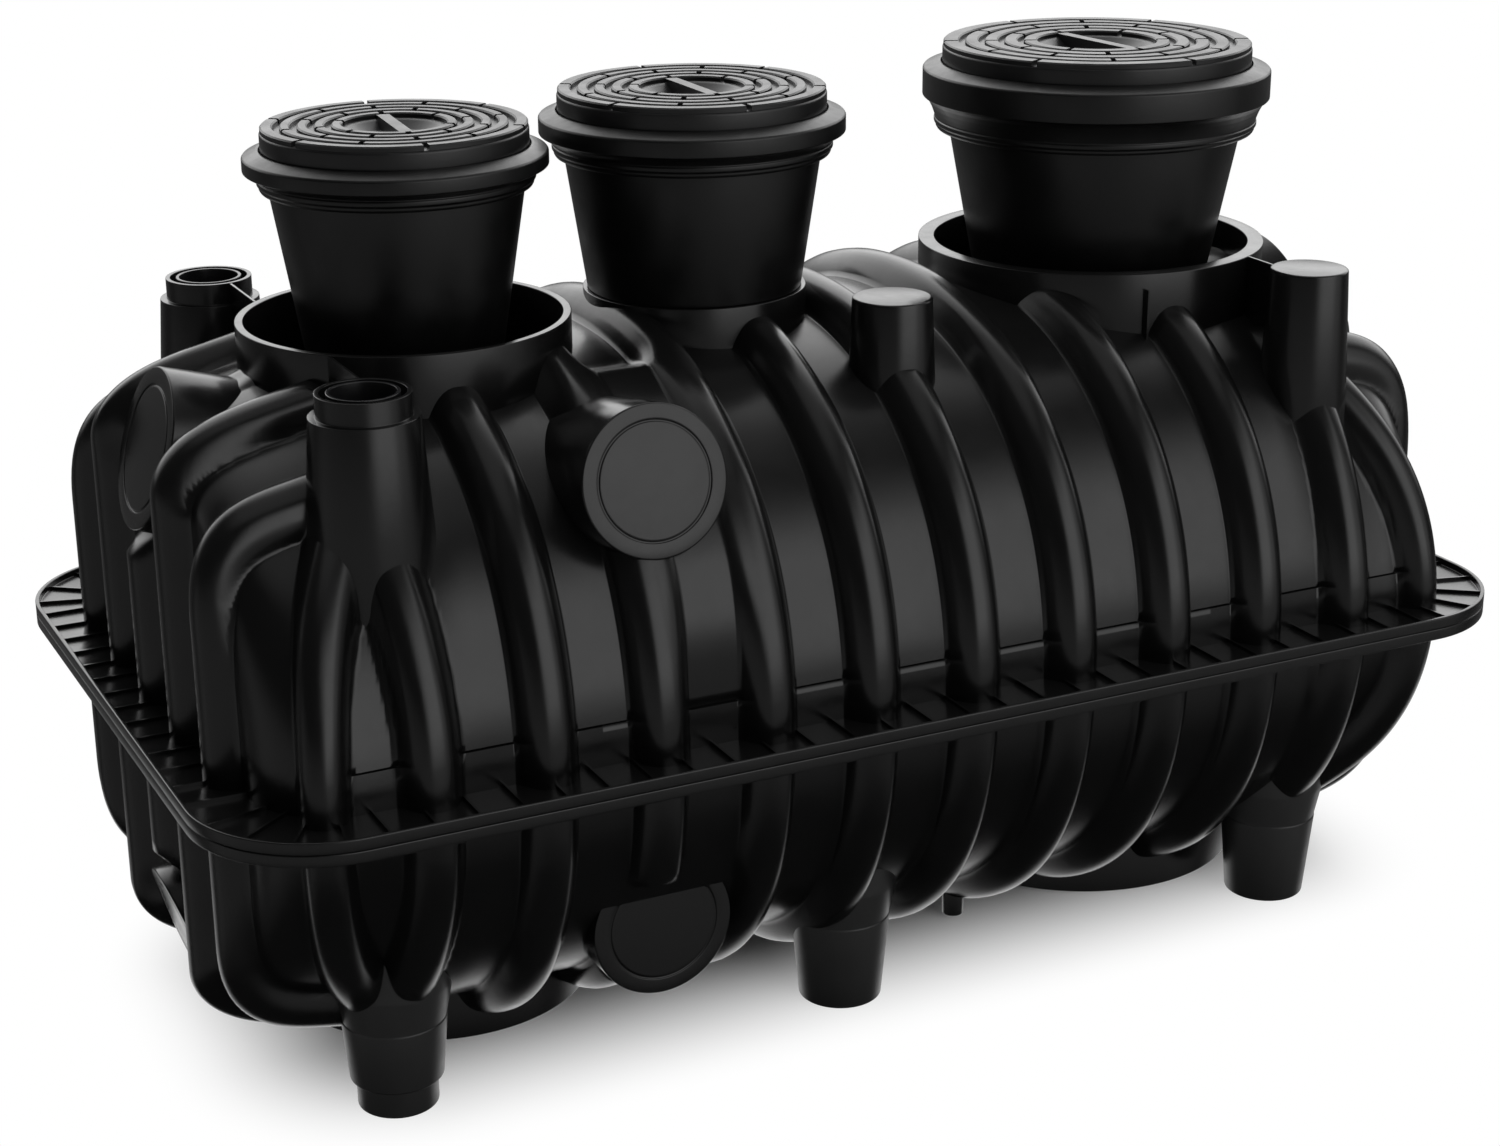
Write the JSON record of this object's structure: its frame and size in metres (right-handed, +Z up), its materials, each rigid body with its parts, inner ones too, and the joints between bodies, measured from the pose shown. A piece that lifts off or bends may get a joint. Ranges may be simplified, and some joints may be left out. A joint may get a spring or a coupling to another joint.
{
  "type": "underground septic tank",
  "caption": "Ribbed two-shell plastic septic tank with flange, feet, riser stubs and round access shafts under treaded lids",
  "frame": {"origin": "centre of the bottom, on the level of the soles of the feet", "axes": "+X along the tank towards the end with closed risers, +Y to the back, +Z up"},
  "size_m": [2.992, 1.746, 1.941],
  "materials": {
    "tank": "moulded black polyethylene, satin",
    "pipe": "black plastic pipe, satin",
    "shaft": "black polyethylene, fine matt",
    "lid": "black polyethylene with raised treads, satin"
  },
  "bodies": {
    "root": {"upper_barrel": "tank", "upper_left_end": "tank", "upper_right_end": "tank", "lower_barrel": "tank", "lower_left_end": "tank", "lower_right_end": "tank", "upper_flange": "tank", "lower_flange": "tank", "left_neck": "tank", "middle_neck": "tank", "right_neck": "tank", "left_base_ring": "tank", "right_base_ring": "tank", "front_left_riser": "tank", "front_left_pipe": "pipe", "front_middle_riser": "tank", "front_right_riser": "tank", "front_left_foot": "tank", "front_middle_foot": "tank", "front_right_foot": "tank", "back_left_riser": "tank", "back_left_pipe": "pipe", "back_middle_riser": "tank", "back_right_riser": "tank", "back_left_foot": "tank", "back_middle_foot": "tank", "back_right_foot": "tank", "upper_front_boss": "tank", "upper_back_boss": "tank", "upper_left_boss": "tank", "upper_right_boss": "tank", "lower_front_boss": "tank", "lower_back_boss": "tank", "lower_left_boss": "tank", "lower_right_boss": "tank", "left_shaft": "shaft", "left_collar": "shaft", "left_lid": "lid", "middle_shaft": "shaft", "middle_collar": "shaft", "middle_lid": "lid", "right_shaft": "shaft", "right_collar": "shaft", "right_lid": "lid"}
  },
  "joints": []
}
